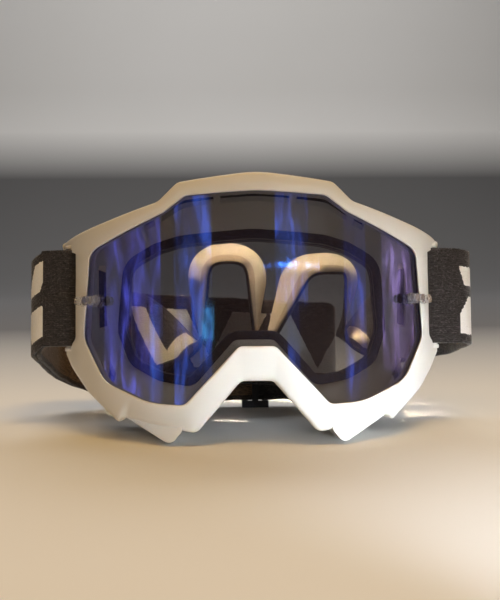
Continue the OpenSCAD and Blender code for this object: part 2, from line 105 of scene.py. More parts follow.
def both(half):
    """A whole outline from its right half."""
    return [list(p) for p in half] + [[-p[0], p[1], p[2]] for p in reversed(half) if p[0] > 0]


LENS, RIM, FACE = both(LENS_HALF), both(RIM_HALF), both(FACE_HALF)


def unit(v):
    return v / np.linalg.norm(v)


def run_along(points):
    """How far along a line each of its points lies."""
    return np.concatenate([[0], np.cumsum(np.linalg.norm(np.diff(points, axis=0), axis=1))])


def curve(a, p, b, f):
    """The point at share f of a curve from a to b, which p draws aside."""
    return (1 - f) ** 2 * a + 2 * f * (1 - f) * p + f * f * b


def smooth_step(x, a, b):
    f = np.clip((x - a) / (b - a), 0, 1)
    return f * f * (3 - 2 * f)


def grow(line, d):
    """An outline set outward by d, with its corner radii."""
    least_radius = 0.5
    out, n = [], len(line)
    for i in range(n):
        a, p, b = (np.array(line[k % n][:2], float) for k in (i - 1, i, i + 1))
        before = unit(np.array([a[1] - p[1], p[0] - a[0]]))
        after = unit(np.array([p[1] - b[1], b[0] - p[0]]))
        turn = (p[0] - a[0]) * (b[1] - p[1]) - (p[1] - a[1]) * (b[0] - p[0])
        q = p + d * (before + after) / (1 + before @ after)
        out.append([q[0], q[1], max(least_radius, line[i][2] + (d if turn < 0 else -d))])
    return out


def bend(a, p, b, r, steps, share_a=0.48, share_b=0.48):
    """Points that round the corner p, using at most these shares of the ways to a and b."""
    u, w = (a - p)[:3], (b - p)[:3]
    long_a, long_b = np.linalg.norm(u), np.linalg.norm(w)
    half = math.acos(max(-1, min(1, u @ w / (long_a * long_b)))) / 2
    t = min(r / max(math.tan(half), 1e-6), share_a * long_a, share_b * long_b)
    start, end = p + (a - p) * t / long_a, p + (b - p) * t / long_b
    return [curve(start, p, end, f) for f in np.linspace(0, 1, steps + 1)]


def rounded(line, parts=6, steps=8):
    """Points of an outline with its corners rounded, in steps, and its straight runs cut into parts."""
    pts, n = [np.array(p[:2], float) for p in line], len(line)
    corners = [bend(pts[i - 1], pts[i], pts[(i + 1) % n], line[i][2], steps) for i in range(n)]
    out = []
    for i in range(n):
        s, e = corners[i][-1], corners[(i + 1) % n][0]
        out += corners[i] + [s + (e - s) * k / parts for k in range(1, parts)]
    return np.array(out)


def lens_depth(x, d):
    """The depth, at x, of the lens's cylinder set inward by d."""
    return lens_r - np.sqrt(np.maximum((lens_r - d) ** 2 - np.square(x), 0))


def face_depth(x):
    """The depth, at x, of the surface on which the frame meets the foam."""
    return face_y + face_r - np.sqrt(np.maximum(face_r ** 2 - np.square(x), 0))


def on_lens(line, d, **detail):
    p = rounded(line, **detail)
    return np.stack([p[:, 0], lens_depth(p[:, 0], d), p[:, 1]], 1)


def on_face(line, back, **detail):
    p = rounded(line, **detail)
    return np.stack([p[:, 0], face_depth(p[:, 0]) + back, p[:, 1]], 1)


def make(name, points, faces, surface, body="goggles", stands_for=(), slot=None, smooth=40,
         uv=None, floor=False):
    """A piece from points in the drawing frame, with creases sharper than smooth degrees."""
    at = row(points)
    if floor:
        at[:, 2] = np.maximum(at[:, 2], 0)
    mesh = bpy.data.meshes.new(name)
    mesh.from_pydata([tuple(p) for p in at], [], [tuple(int(k) for k in f) for f in faces])
    if uv is not None:
        uv_layer = mesh.uv_layers.new(name="UVMap")
        corners = np.empty(len(mesh.loops), int)
        mesh.loops.foreach_get("vertex_index", corners)
        uv_layer.data.foreach_set("uv", np.asarray(uv, float)[corners].ravel())
    mesh.materials.append(surface)
    mesh.validate()
    mesh.update()
    piece = bpy.data.objects.new(name, mesh)
    bpy.context.scene.collection.objects.link(piece)
    mesh.shade_smooth()
    if smooth < 180:
        mesh.set_sharp_from_angle(angle=math.radians(smooth))
    if body:
        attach(piece, body)
    if stands_for:
        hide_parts(*stands_for)
    return piece


def loft(loops, closed=True):
    """Quads between loops of equally many points, the last joined to the first if closed."""
    m, n = len(loops), len(loops[0])
    faces = [[k * n + i, k * n + (i + 1) % n, ((k + 1) % m) * n + (i + 1) % n, ((k + 1) % m) * n + i]
             for k in range(m if closed else m - 1) for i in range(n)]
    return np.concatenate(loops), faces


def capped(points, faces, n, flip=False):
    """The faces of an open loft with n points to a loop, and one more at each end."""
    first, last = list(range(n)), list(range(len(points) - n, len(points)))
    return faces + ([first, last[::-1]] if flip else [first[::-1], last])


def joined(parts):
    """The points and faces of several solids as those of one mesh."""
    points, faces, count = [], [], 0
    for some_points, some_faces in parts:
        points.append(some_points)
        faces += [[k + count for k in f] for f in some_faces]
        count += len(some_points)
    return np.concatenate(points), faces


def mend_normals(piece):
    bpy.context.view_layer.objects.active = piece
    piece.select_set(True)
    bpy.ops.object.mode_set(mode="EDIT")
    bpy.ops.mesh.select_all(action="SELECT")
    bpy.ops.mesh.normals_make_consistent(inside=False)
    bpy.ops.object.mode_set(mode="OBJECT")
    piece.select_set(False)


def bevel(piece, width, segments=2, angle=35):
    """Rounds the edges of a piece that bend by more than angle degrees, by width millimetres."""
    tool = piece.modifiers.new("edges", "BEVEL")
    tool.width, tool.segments, tool.limit_method = width / 1000, segments, "ANGLE"
    tool.angle_limit, tool.harden_normals = math.radians(angle), True


class Graph:
    """A node tree, with short ways to add nodes to it."""

    def __init__(self, tree):
        self.nodes, self.links = tree.nodes, tree.links

    def feed(self, socket, value):
        """Sets a socket to a number or a colour, or links another node's output to it."""
        if isinstance(value, (int, float)):
            socket.default_value = value
        elif isinstance(value, tuple):
            socket.default_value = (*value, 1)
        else:
            self.links.new(value, socket)

    def add(self, kind, **values):
        n = self.nodes.new(kind)
        for key, value in values.items():
            if key in n.inputs.keys():
                n.inputs[key].default_value = value
            else:
                setattr(n, key, value)
        return n

    def texture(self, kind, where, **values):
        n = self.add(kind, **values)
        self.feed(n.inputs["Vector"], where)
        return n

    def noise(self, where, **values):
        return self.texture("ShaderNodeTexNoise", where, **values).outputs[0]

    def split(self, vector):
        n = self.add("ShaderNodeSeparateXYZ")
        self.feed(n.inputs[0], vector)
        return n.outputs

    def calc(self, operation, *values):
        n = self.add("ShaderNodeMath", operation=operation)
        for k, value in enumerate(values):
            self.feed(n.inputs[k], value)
        return n.outputs[0]

    def mix(self, factor, a, b, blend_type="MIX"):
        n = self.add("ShaderNodeMix", data_type="RGBA", blend_type=blend_type)
        for k, value in ((0, factor), (6, a), (7, b)):
            self.feed(n.inputs[k], value)
        return n.outputs[2]

    def ramp(self, source, *stops):
        n = self.add("ShaderNodeValToRGB")
        while len(n.color_ramp.elements) < len(stops):
            n.color_ramp.elements.new(0.5)
        for element, (position, colour) in zip(n.color_ramp.elements, stops):
            element.position, element.color = position, (*colour, 1)
        self.feed(n.inputs[0], source)
        return n.outputs[0]


class Paint(Graph):
    """A new material with its node tree and main shader."""

    def __init__(self, name):
        self.material = bpy.data.materials.new(name)
        self.material.use_nodes = True
        super().__init__(self.material.node_tree)
        self.shader = self.nodes["Principled BSDF"]

    def set(self, socket, value):
        self.feed(self.shader.inputs[socket], value)

    def places(self):
        return self.add("ShaderNodeTexCoord").outputs["Object"]

    def bump(self, height, strength, distance):
        n = self.add("ShaderNodeBump", Strength=strength, Distance=distance)
        self.feed(n.inputs["Height"], height)
        self.set("Normal", n.outputs[0])


def plastic(name, light, dark, roughness, grain=0.06):
    """Moulded plastic, a little cloudy and lighter on its worn edges."""
    g = Paint(name)
    where = g.places()
    cloud = g.noise(where, Scale=38.0, Detail=3.0)
    fine = g.noise(where, Scale=2600.0, Detail=2.0)
    edge = g.add("ShaderNodeNewGeometry").outputs["Pointiness"]
    worn = g.calc("MULTIPLY", g.ramp(edge, (0.5, (0, 0, 0)), (0.56, (1, 1, 1))), 0.35)
    lighter = tuple(min(1, c * 1.06) for c in light)
    g.set("Base Color", g.mix(worn, g.mix(cloud, dark, light), lighter))
    g.set("Roughness", g.calc("MULTIPLY_ADD", cloud, 0.16, roughness - 0.08))
    g.bump(fine, grain, 0.0001)
    return g


def frame_plastic():
    g = plastic("frame_satin", (0.84, 0.81, 0.76), (0.79, 0.76, 0.70), 0.36)
    g.set("Subsurface Weight", 0.08)
    g.set("Subsurface Scale", 0.5)
    g.shader.inputs["Subsurface Radius"].default_value = (0.004, 0.003, 0.002)
    return g.material


def foam_material(name, light, dark, cell, height):
    """Open foam or fleece, as small cells with painted shade darkening their insides."""
    g = Paint(name)
    where = g.places()
    cells = g.texture("ShaderNodeTexVoronoi", where, Scale=cell).outputs["Distance"]
    # Painted shade: the tone falls toward each cell's middle, so the pores read as shaded hollows.
    tone = g.calc("MULTIPLY", cells, g.noise(where, Scale=cell * 0.35, Detail=5.0))
    g.set("Base Color", g.ramp(tone, (0.05, dark), (0.5, light)))
    g.set("Roughness", 0.95)
    g.set("Sheen Weight", 0.3)
    g.bump(tone, 0.8, height)
    return g.material


def post_plastic():
    g = Paint("clear_posts")
    g.set("Base Color", (0.93, 0.94, 0.97))
    g.set("Roughness", 0.05)
    g.set("IOR", 1.58)
    g.set("Transmission Weight", 0.92)
    g.bump(g.noise(g.places(), Scale=900.0, Detail=3.0), 0.15, 0.0001)
    return g.material


def lens_coat():
    """The blue mirror film on the front of the lens, denser where it is seen at a slant."""
    g = Paint("lens_mirror")
    where = g.places()
    film = g.noise(where, Scale=16.0, Detail=2.0)
    rim = g.add("ShaderNodeLayerWeight", Blend=0.35).outputs["Facing"]
    hue = g.calc("ADD", g.calc("MULTIPLY", rim, 0.8), g.calc("MULTIPLY", film, 0.3))
    g.set("Base Color", g.ramp(hue, (0.12, (0.09, 0.15, 0.66)), (0.45, (0.16, 0.18, 0.70)),
                               (0.75, (0.22, 0.2, 0.8))))
    g.set("Metallic", 1)
    g.set("Roughness", 0.04)
    g.set("Alpha", g.calc("MULTIPLY_ADD", rim, 0.45, 0.28))
    g.bump(g.noise(where, Scale=30.0, Detail=3.0), 0.05, 0.001)
    return g.material


def lens_tint():
    """The brown tint on the back of the lens."""
    g = Paint("lens_tint")
    film = g.noise(g.places(), Scale=9.0, Detail=1.0)
    g.set("Base Color", g.mix(film, (0.060, 0.036, 0.026), (0.050, 0.034, 0.028)))
    g.set("Roughness", 0.12)
    g.set("Alpha", 0.56)
    return g.material


white = frame_plastic()
black_plastic = plastic("adjuster_black", (0.030, 0.030, 0.034), (0.018, 0.018, 0.021), 0.42, 0.2).material
foam = foam_material("foam_navy", (0.045, 0.05, 0.10), (0.006, 0.007, 0.018), 1500.0, 0.0005)
filter_foam = foam_material("filter_foam", (0.035, 0.032, 0.036), (0.004, 0.004, 0.005), 1100.0, 0.0006)
fleece = foam_material("fleece_black", (0.055, 0.048, 0.050), (0.012, 0.010, 0.011), 2400.0, 0.0004)
clear_plastic = post_plastic()
coat, tint = lens_coat(), lens_tint()

# A strap's UV is in millimetres: u runs along it, v across it, and the second face is this much higher in v
SECOND_FACE = 1000


def figures(g, u, v, rows):
    """1 on slanted bars, else 0, from [u of the middle, half width, slant, lowest v, highest v]."""
    def between(x, lo, hi):
        return g.calc("MULTIPLY", g.calc("GREATER_THAN", x, lo), g.calc("LESS_THAN", x, hi))

    total = 0.0
    for k, (mid, half, slant, lo, hi) in enumerate(rows):
        leaned = g.calc("MULTIPLY_ADD", v, -slant, u)
        bar = g.calc("MULTIPLY", between(leaned, mid - half, mid + half), between(v, lo, hi))
        total = g.calc("MAXIMUM", total, bar) if k else bar
    return total


def threads(g, plain):
    """How far the threads of the webbing stand out."""
    rib = g.texture("ShaderNodeTexWave", plain, Scale=0.42, Distortion=1.6, Detail=2.0)
    rib.inputs["Detail Scale"].default_value = 1.5
    cross = g.texture("ShaderNodeTexWave", plain, Scale=0.33, Distortion=1.2, Detail=2.0,
                      bands_direction="Y")
    crumple = g.noise(plain, Scale=0.7, Detail=6.0, Roughness=0.7)
    squeezed = g.texture("ShaderNodeMapping", plain, Scale=(0.5, 1.25, 1)).outputs[0]
    crepe = g.noise(squeezed, Scale=1.0, Detail=2.0, Distortion=1.4)
    weave = g.calc("MULTIPLY", rib.outputs[1], cross.outputs[1])
    fine = g.calc("MULTIPLY_ADD", g.calc("MULTIPLY", weave, crumple), 0.35, 0.0)
    raised = g.calc("SUBTRACT", crepe, 0.36)
    return g.calc("ADD", fine, g.calc("MULTIPLY", raised, 1.7))


def webbing_material(name, stripes, blocks, trims, brown_from, brown_to):
    """Black webbing with cream felt blocks on its first face, and stripes over tan trims on its second,
    which is brown before brown_from and after brown_to."""
    g = Paint(name)
    u0, v_both, _ = g.split(g.add("ShaderNodeUVMap", uv_map="UVMap").outputs[0])
    second = g.calc("GREATER_THAN", v_both, SECOND_FACE / 2)
    v0 = g.calc("SUBTRACT", v_both, g.calc("MULTIPLY", second, SECOND_FACE))
    plain_node = g.add("ShaderNodeCombineXYZ")
    g.feed(plain_node.inputs[0], u0)
    g.feed(plain_node.inputs[1], v0)
    plain = plain_node.outputs[0]

    # The figures' edges are frayed by a noise that moves them this far either way
    fray = 0.9
    shake = g.texture("ShaderNodeTexNoise", plain, Scale=1.1, Detail=4.0)
    off = g.add("ShaderNodeSeparateColor")
    g.feed(off.inputs[0], shake.outputs["Color"])
    u = g.calc("ADD", u0, g.calc("MULTIPLY_ADD", off.outputs[0], 2 * fray, -fray))
    v = g.calc("ADD", v0, g.calc("MULTIPLY_ADD", off.outputs[1], 2 * fray, -fray))
    first, other = figures(g, u, v, blocks), figures(g, u, v, stripes)
    trim = g.calc("MULTIPLY", figures(g, u, v, trims), second) if trims else 0.0
    cream = g.calc("MAXIMUM", g.calc("MULTIPLY", first, g.calc("SUBTRACT", 1.0, second)),
                   g.calc("MULTIPLY", other, second))

    thread = threads(g, plain)
    # Painted highlights: both weaves turn lighter where their threads stand out. This is partly the
    # threads' own tone and partly painted glints on the crepe.
    ground = g.ramp(thread, (0.02, (0.006, 0.005, 0.005)), (0.45, (0.030, 0.024, 0.025)),
                    (0.75, (0.13, 0.11, 0.11)))
    brown = g.ramp(thread, (0.02, (0.05, 0.028, 0.014)), (0.4, (0.21, 0.12, 0.062)),
                   (0.7, (0.34, 0.21, 0.12)))
    near_ends = g.calc("MAXIMUM", g.calc("LESS_THAN", u0, brown_from), g.calc("GREATER_THAN", u0, brown_to))
    fuzz = g.noise(plain, Scale=2.6, Detail=4.0)
    tan_felt = g.ramp(fuzz, (0.25, (0.66, 0.55, 0.40)), (0.75, (0.90, 0.80, 0.65)))
    pale_felt = g.ramp(fuzz, (0.25, (0.86, 0.83, 0.78)), (0.75, (0.98, 0.97, 0.94)))
    colour = g.mix(g.calc("MULTIPLY", second, near_ends), ground, brown)
    colour = g.mix(cream, colour, g.mix(second, pale_felt, tan_felt))
    hem = g.calc("GREATER_THAN", g.calc("ABSOLUTE", v0), strap_w / 2 - 2.4)
    bare_hem = g.calc("MULTIPLY", g.calc("SUBTRACT", 1.0, other), hem)
    colour = g.mix(g.calc("MULTIPLY", bare_hem, 0.85), colour, ground)
    g.set("Base Color", g.mix(trim, colour, (0.50, 0.38, 0.25)))
    g.set("Roughness", g.calc("MULTIPLY_ADD", cream, 0.3, g.calc("MULTIPLY_ADD", thread, -0.3, 0.62)))
    g.set("Sheen Weight", 0.25)
    felt_height = g.calc("MULTIPLY", cream, g.calc("MULTIPLY_ADD", fuzz, 0.7, 0.9))
    g.bump(g.calc("ADD", felt_height, g.calc("MULTIPLY", thread, 0.9)), 0.9, 0.0005)
    return g.material


def outline_stations(keys_in, keys_out, spacing):
    """Points that face each other on both outlines, and the first one after each key."""
    steps, parts = 12, 8

    def track(line, keys):
        pts = rounded(line, parts=parts, steps=steps)
        closed = np.vstack([pts, pts[:1]])
        run = run_along(closed)
        mids = [run[i * (steps + parts) + steps // 2] for i in range(len(line))]
        mids.append(run[-1] + run[steps // 2])
        ats = []
        for key in keys:
            k = int(key)
            ats.append(mids[k] + (key - k) * (mids[k + 1] - mids[k]) if k < len(line) else mids[-1])

        def at(s):
            s = np.mod(s, run[-1])
            return np.stack([np.interp(s, run, closed[:, 0]), np.interp(s, run, closed[:, 1])], -1)
        return at, ats

    at_in, s_in = track(LENS, keys_in)
    at_out, s_out = track(RIM, keys_out)
    inner, outer, starts = [], [], [0]
    for k in range(len(keys_in) - 1):
        n = max(2, int(round(max(s_out[k + 1] - s_out[k], s_in[k + 1] - s_in[k]) / spacing)))
        f = np.arange(n) / n
        inner.append(at_in(s_in[k] + f * (s_in[k + 1] - s_in[k])))
        outer.append(at_out(s_out[k] + f * (s_out[k + 1] - s_out[k])))
        starts.append(starts[-1] + n)
    return np.concatenate(inner), np.concatenate(outer), starts


# Where on the lens outline each vertex of the rim's outline is matched, counted in the lens's vertices
half_keys = [0, 1, 2, 2.62, 3, 3.06, 3.13, 3.9, 4.02, 4.3, 4.8, 5.55, 5.7, 7, 8]
lens_keys = half_keys + [len(LENS) - k for k in reversed(half_keys[1:])] + [len(LENS)]
INNER, OUTER, START = outline_stations(lens_keys, list(range(len(RIM) + 1)), 1.1)


def build_rim():
    span = OUTER - INNER
    wide = np.linalg.norm(span, axis=1)
    outward = span / wide[:, None]
    far_out = np.abs(OUTER[:, 0])
    rim_back, shoulder_back = bar_y + 2.4, bar_y + 9.4
    at_shoulder = (far_out > rim_side - 0.6) & (OUTER[:, 1] > corner_z)
    back_limit = np.where(at_shoulder, shoulder_back, rim_back)

    # The band leans back at the cheeks, and more below the lens, past a crease at each lower corner
    cheek_lean, low_lean = 0.10, 0.34
    jowl, low_corner, last = 8, 11, len(RIM)
    lean_back = np.zeros(len(INNER))
    lean_back[START[jowl]:START[low_corner]] = cheek_lean
    lean_back[START[last - low_corner]:START[last - jowl]] = cheek_lean
    lean_back[START[low_corner] + 1:START[last - low_corner]] = low_lean
    for _ in range(2):
        lean_back = (np.roll(lean_back, 1) + 2 * lean_back + np.roll(lean_back, -1)) / 4

    def at_depth(s, y):
        """The loop at s from the lens opening toward the outline, at depth y."""
        p = INNER + outward * np.broadcast_to(s, wide.shape)[:, None]
        return np.stack([p[:, 0], np.minimum(y, back_limit), p[:, 1]], 1)

    def on_band(s, d):
        """The loop at s from the lens opening, d below the band's face."""
        s = np.broadcast_to(s, wide.shape)
        x = (INNER + outward * s[:, None])[:, 0]
        return at_depth(s, lens_depth(x, d) + (lean_back * np.maximum(s - 1, 0) if d < 1 else 0))

    # The wall of the opening with the lens's groove, up to the lip
    groove, groove_front, groove_back = 2.6, lip_t - 0.02, 3.45
    loops = [on_band(0, rim_depth), on_band(0, groove_back + 0.15), on_band(groove, groove_back),
             on_band(groove, groove_front), on_band(0.25, groove_front), on_band(0, lip_t - 0.3)]

    # The lip's round edge, the slightly crowned band and its round outer edge
    r_in, r_out, crown = 0.9, np.minimum(2.6, wide * 0.3), 0.25
    lip, lip_on = on_band(0, 0), on_band(r_in, 0)
    lip_in = lip + np.array([0, r_in, 0])
    loops += [curve(lip_in, lip, lip_on, f) for f in (0.15, 0.35, 0.55, 0.8, 1)]
    loops += [on_band(r_in + (wide - r_out - r_in) * f, -crown * math.sin(math.pi * f))
              for f in (0.2, 0.4, 0.6, 0.8)]
    edge, edge_on = on_band(wide, 0), on_band(wide - r_out, 0)
    drop = r_out * 1.15
    edge_back = edge + np.stack([0 * drop, drop, 0 * drop], 1)
    loops += [curve(edge_on, edge, edge_back, f) for f in (0, 0.15, 0.3, 0.45, 0.6, 0.8, 1)]

    # The outer side, deeper where it skirts the lower corners, and the inside of that skirt
    skirt = smooth_step(far_out, 56.5, 59.5) * smooth_step(-OUTER[:, 1], -46, -41.5)
    skirt_depth, skirt_t = 9, 3
    y0 = edge_back[:, 1]
    deep = np.minimum(lens_depth(OUTER[:, 0], rim_depth + skirt_depth * skirt), back_limit)
    y1 = np.maximum(deep, y0 + 0.4)
    loops += [at_depth(wide, y0 + (y1 - y0) * f) for f in (0.25, 0.5, 0.75, 0.93)]
    loops += [at_depth(wide - 0.5, y1), at_depth(wide - 2.4, y1), at_depth(wide - 2.9, y1 - 0.5 * skirt)]
    inside_x = (INNER + outward * (wide - skirt_t)[:, None])[:, 0]
    inner_side = np.minimum(lens_depth(inside_x, rim_depth), back_limit)
    loops.append(at_depth(wide - skirt_t, np.minimum(inner_side, y1)))
    points, faces = loft(loops)
    piece = make("frame_rim", points, faces, white, slot="frame_white", smooth=50)
    mend_normals(piece)
    return piece


def arc_block(x0, x1, z0, z1):
    """A block between two cylinders round the lens's axis, where the wall has a vent."""
    near, far = rim_depth + 1.5, rim_depth + 1.5 + vent_w
    loops = []
    for x in np.linspace(x0, x1, 9):
        y_a, y_b = lens_depth(x, near), lens_depth(x, far)
        loops.append([[x, y_a, z0], [x, y_b, z0], [x, y_b, z1], [x, y_a, z1]])
    points, faces = loft(np.array(loops), closed=False)
    return points, capped(points, faces, 4, flip=True)


def vent_blocks():
    """What the vents take out of the walls: slots over the brow, under the cheeks and at the sides."""
    reach, slot_w = 40, 3.2
    blocks = [arc_block(-15, 15, face_top - 6, face_top - 6 + reach)]
    for s in (-1, 1):
        for near, far, low in ((18, 41, face_top - 8), (44, 49, face_top - 12)):
            blocks.append(arc_block(s * near, s * far, low, low + reach))
        for near in (63.4, 67.8):
            blocks.append(arc_block(s * near, s * (near + slot_w), 0, 36))
        corners = [[x, y, z] for x in (s * 69, s * 72.5) for y in (bar_y - 10, bar_y + 10)
                   for z in (cheek_z + 5, cheek_z + 35)]
        blocks.append((np.array(corners), [[0, 1, 3, 2], [4, 6, 7, 5], [0, 4, 5, 1], [2, 3, 7, 6],
                                           [0, 2, 6, 4], [1, 5, 7, 3]]))
    return joined(blocks)


def build_walls():
    """The walls from the rim back to the face flange, with their vents cut."""
    detail = dict(parts=8, steps=10)
    root, ease, crease = rim_depth - 2, 0.5, 38
    flange = [(0, -0.6), (ease, 0), (flange_w - ease, 0), (flange_w, -0.6), (flange_w, -flange_t + ease),
              (flange_w - ease, -flange_t), (wall, -flange_t)]
    points, faces = loft([on_lens(grow(LENS, 1), root, **detail),
                          *(on_face(grow(FACE, outside), back, **detail) for outside, back in flange),
                          on_lens(grow(LENS, wall + 1), root, **detail)])
    piece = make("frame_walls", points, faces, white, slot="frame_white", smooth=crease)
    mend_normals(piece)
    cutter = make("vent_cutter", *vent_blocks(), white, body=None)
    mend_normals(cutter)
    tool = piece.modifiers.new("vents", "BOOLEAN")
    tool.operation, tool.solver, tool.object = "DIFFERENCE", "EXACT", cutter
    bpy.context.view_layer.objects.active = piece
    bpy.ops.object.modifier_apply(modifier="vents")
    bpy.data.objects.remove(cutter, do_unlink=True)
    piece.data.set_sharp_from_angle(angle=math.radians(crease))
    bevel(piece, 0.35, 2, 50)


def sided(outline, side, **detail):
    """A rounded outline of the right side, mirrored where the side is -1."""
    line = rounded(outline, **detail) * np.array([side, 1])
    return line[::-1] if side < 0 else line


jaw_z = lens_low - band_low
LOBE = [[lens_lobe_x + 0.5, jaw_z + 8, 0.5], [58.4, jaw_z + 13, 0.5], [58, jaw_z + 7.2, 1.6],
        [lens_lobe_x + 6, jaw_z - 5.2, 4.2], [lens_lobe_x + 1.2, jaw_z + 0.5, 2]]


def build_lobe(side, word):
    """A lower lobe, on which the goggles rest."""
    line = sided(LOBE, side, parts=14, steps=8)
    x, z = line[:, 0], line[:, 1]
    front, back = lens_depth(x, 3), np.minimum(lens_depth(x, lobe_len), lobe_y + lobe_len / 2 + 12)
    loops = [np.stack([x, front + (back - front) * f, z], 1) for f in np.linspace(0, 1, 26)]
    points, faces = loft(loops, closed=False)
    faces = capped(points, [f[::-1] for f in faces], len(line), flip=True)
    lobe = make("frame_lobe_" + word, points, faces, white, slot="frame_white", floor=True)
    mend_normals(lobe)
    bevel(lobe, 0.9, 3)


def flat_prism(outline, z0, z1):
    """A solid with one outline, in x and y, at both heights."""
    loops = [np.column_stack([outline, np.full(len(outline), z)]) for z in (z0, z1)]
    points, faces = loft(loops, closed=False)
    return points, capped(points, faces, len(outline))


LUG = [[75, bar_y - 4, 0.5], [80.5, bar_y - 5, 1.2], [bar_x + 2.6, bar_y - 1.5, 2],
       [bar_x + 2.6, bar_y + 3, 2], [bar_x, bar_y + 4.4, 1.5], [75, bar_y + 4.4, 0.5]]


def build_lugs(side, word):
    """The two lugs at one side with the bar between them, which holds the strap's end."""
    line = sided(LUG, side, parts=1, steps=6)
    turns = np.linspace(0, 2 * math.pi, 40, endpoint=False)
    bar = np.stack([side * bar_x + bar_r * np.cos(turns), bar_y + bar_r * np.sin(turns)], 1)
    under, over = lug_low - lug_gap, lug_low + strap_w + lug_gap
    parts = [flat_prism(line, z, z + lug_t) for z in (under - lug_t, over)]
    parts.append(flat_prism(bar, under - 1, over + 1))
    lugs = make("frame_lugs_" + word, *joined(parts), white, slot="frame_white")
    mend_normals(lugs)
    bevel(lugs, 0.4, 2)


SIDES = ((-1, "left"), (1, "right"))
rim = build_rim()
build_walls()
for side, word in SIDES:
    build_lobe(side, word)
for side, word in SIDES:
    build_lugs(side, word)
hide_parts("frame_shell")


def lens_sheet(name, depth, surface, flip):
    """One face of the lens: rings drawn in from its edge to a middle point, on a cylinder."""
    edge = rounded(grow(LENS, lens_seat), parts=14, steps=12)
    mid, n = np.array([0, 62.0]), len(edge)
    rings = []
    for f in np.linspace(1, 0.03, 60):
        p = mid + (edge - mid) * f
        rings.append(np.stack([p[:, 0], lens_depth(p[:, 0], depth), p[:, 1]], 1))
    points, faces = loft(rings, closed=False)
    first = len(points) - n
    points = np.vstack([points, [[mid[0], lens_depth(mid[0], depth), mid[1]]]])
    faces += [[first + k, first + (k + 1) % n, first + n] for k in range(n)]
    if flip:
        faces = [f[::-1] for f in faces]
    return make(name, points, faces, surface, slot="lens", smooth=180)


lens_front = lens_sheet("lens_front", lip_t + lens_play, coat, False)
lens_sheet("lens_back", lip_t + lens_play + lens_t, tint, True)
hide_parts("lens")


def foam_ring(name, profile, surface, stands_for, slot, rough, seed):
    """A ring of foam from its section, as [how far outside the face outline, how far behind the face]."""
    loops = [on_face(grow(FACE, outside), back, parts=9, steps=9) for outside, back in profile]
    points, faces = loft(loops)
    rng = np.random.default_rng(seed)
    points = points + rng.normal(0, rough, points.shape)
    piece = make(name, points, faces, surface, slot=slot, stands_for=(stands_for,), smooth=180)
    mend_normals(piece)


def layer_profile(back, t, inner, outer):
    """The section of a foam layer, with round edges and with sides that are drawn in halfway."""
    side = [(0.45, 0.0), (0.12, 0.08), (0.0, 0.2), (0.5, 0.5), (0.0, 0.8), (0.12, 0.92), (0.45, 1.0)]
    shares = (0.25, 0.5, 0.75)
    out = [(inner + a, back + t * f) for a, f in side]
    out += [(inner + (outer - inner) * s, back + t) for s in shares]
    out += [(outer - a, back + t * f) for a, f in reversed(side)]
    return out + [(inner + (outer - inner) * s, back) for s in reversed(shares)]


base_in = 4.2
foam_ring("foam_base", layer_profile(foam_gap, foam_base_t, -base_in, flange_w - 0.4), foam,
          "face_foam_base", "foam", 0.05, 1)
foam_ring("foam_mid", layer_profile(2 * foam_gap + foam_base_t, foam_mid_t, -foam_in, flange_w - 0.7), foam,
          "face_foam_mid", "foam", 0.05, 2)
fleece_back = 3 * foam_gap + foam_base_t + foam_mid_t
FLEECE = [(-base_in, 0), (-foam_in, 0.5), (-foam_in, 1.4), (-4.0, 2.0), (-2.8, 2.6), (3.6, 2.92),
          (flange_w / 2, fleece_t), (flange_w - 4.4, 2.92), (flange_w - 2.3, 2.6), (flange_w - 1.3, 2.0),
          (flange_w - 0.9, 1.2), (flange_w - 0.85, 0.5), (flange_w - 1.2, 0), (flange_w / 2, 0)]
foam_ring("fleece_ring", [(outside, fleece_back + rise) for outside, rise in FLEECE], fleece, "face_fleece",
          "fleece", 0.07, 3)

# Where the strap leaves its end loops
start_l = tab_l + flex_l + 0.2
start_side = loop_r - strap_t / 2
out_a = math.radians(strap_out)
start_x = bar_x + start_l * math.cos(out_a) + start_side * math.sin(out_a)
start_y = bar_y + start_l * math.sin(out_a) - start_side * math.cos(out_a)
curl_y = start_y + (curl_x - start_x) * math.tan(out_a)
bar_mid = lug_low + strap_w / 2
rear_mid = rear_run_z + strap_w / 2

# The strap's path, as [x, y, z, roll from upright in degrees, corner radius, flare in degrees if any]
RIGHT_TURN = [
    [start_x, start_y, bar_mid, 0, 0], [curl_x, curl_y, bar_mid - 0.5, 0, 12],
    [curl_x - 3, arch_y + 14, bar_mid - 5, 0, 16], [78, arch_y + 15, foot_z + 14, 6, 14],
    [66, arch_y + 11, foot_z + 10, 34, 8]]
ARCHES = [
    [44, arch_y + 1, foot_z + 1, 90, 5], [53, arch_y, arch_right_z, 90, 16, arch_flare],
    [25, arch_y, arch_right_z - 1, 90, 14, arch_flare], [8.5, arch_y, foot_z, 90, 2.6],
    [1.5, arch_y, foot_z, 90, 2.6], [3.5, arch_y, arch_left_z, 90, 15, arch_flare],
    [-26.5, arch_y, arch_left_z, 90, 15, arch_flare], [-24, arch_y + 1, foot_z - 1, 90, 6],
    [-44, arch_y + 6, foot_z + 4, 42, 10]]
FOLDS = [
    [-60, arch_y + 10, foot_z + 7, 0, 8], [-60, rear_y - run_gap, foot_z + 7, 0, 8],
    [fold_x, rear_y - run_gap, foot_z + 1, 0, run_gap / 2], [fold_x, rear_y, rear_mid, 0, run_gap / 2]]
LEFT_TURN = [
    [-curl_x + 34, rear_y, rear_mid, 0, 60],
    [-curl_x + 4, rear_y - 10, (rear_mid + bar_mid) / 2 - 3, 0, 60],
    [-curl_x, curl_y, bar_mid - 4, 0, 12], [-start_x, start_y, bar_mid, 0, 0]]


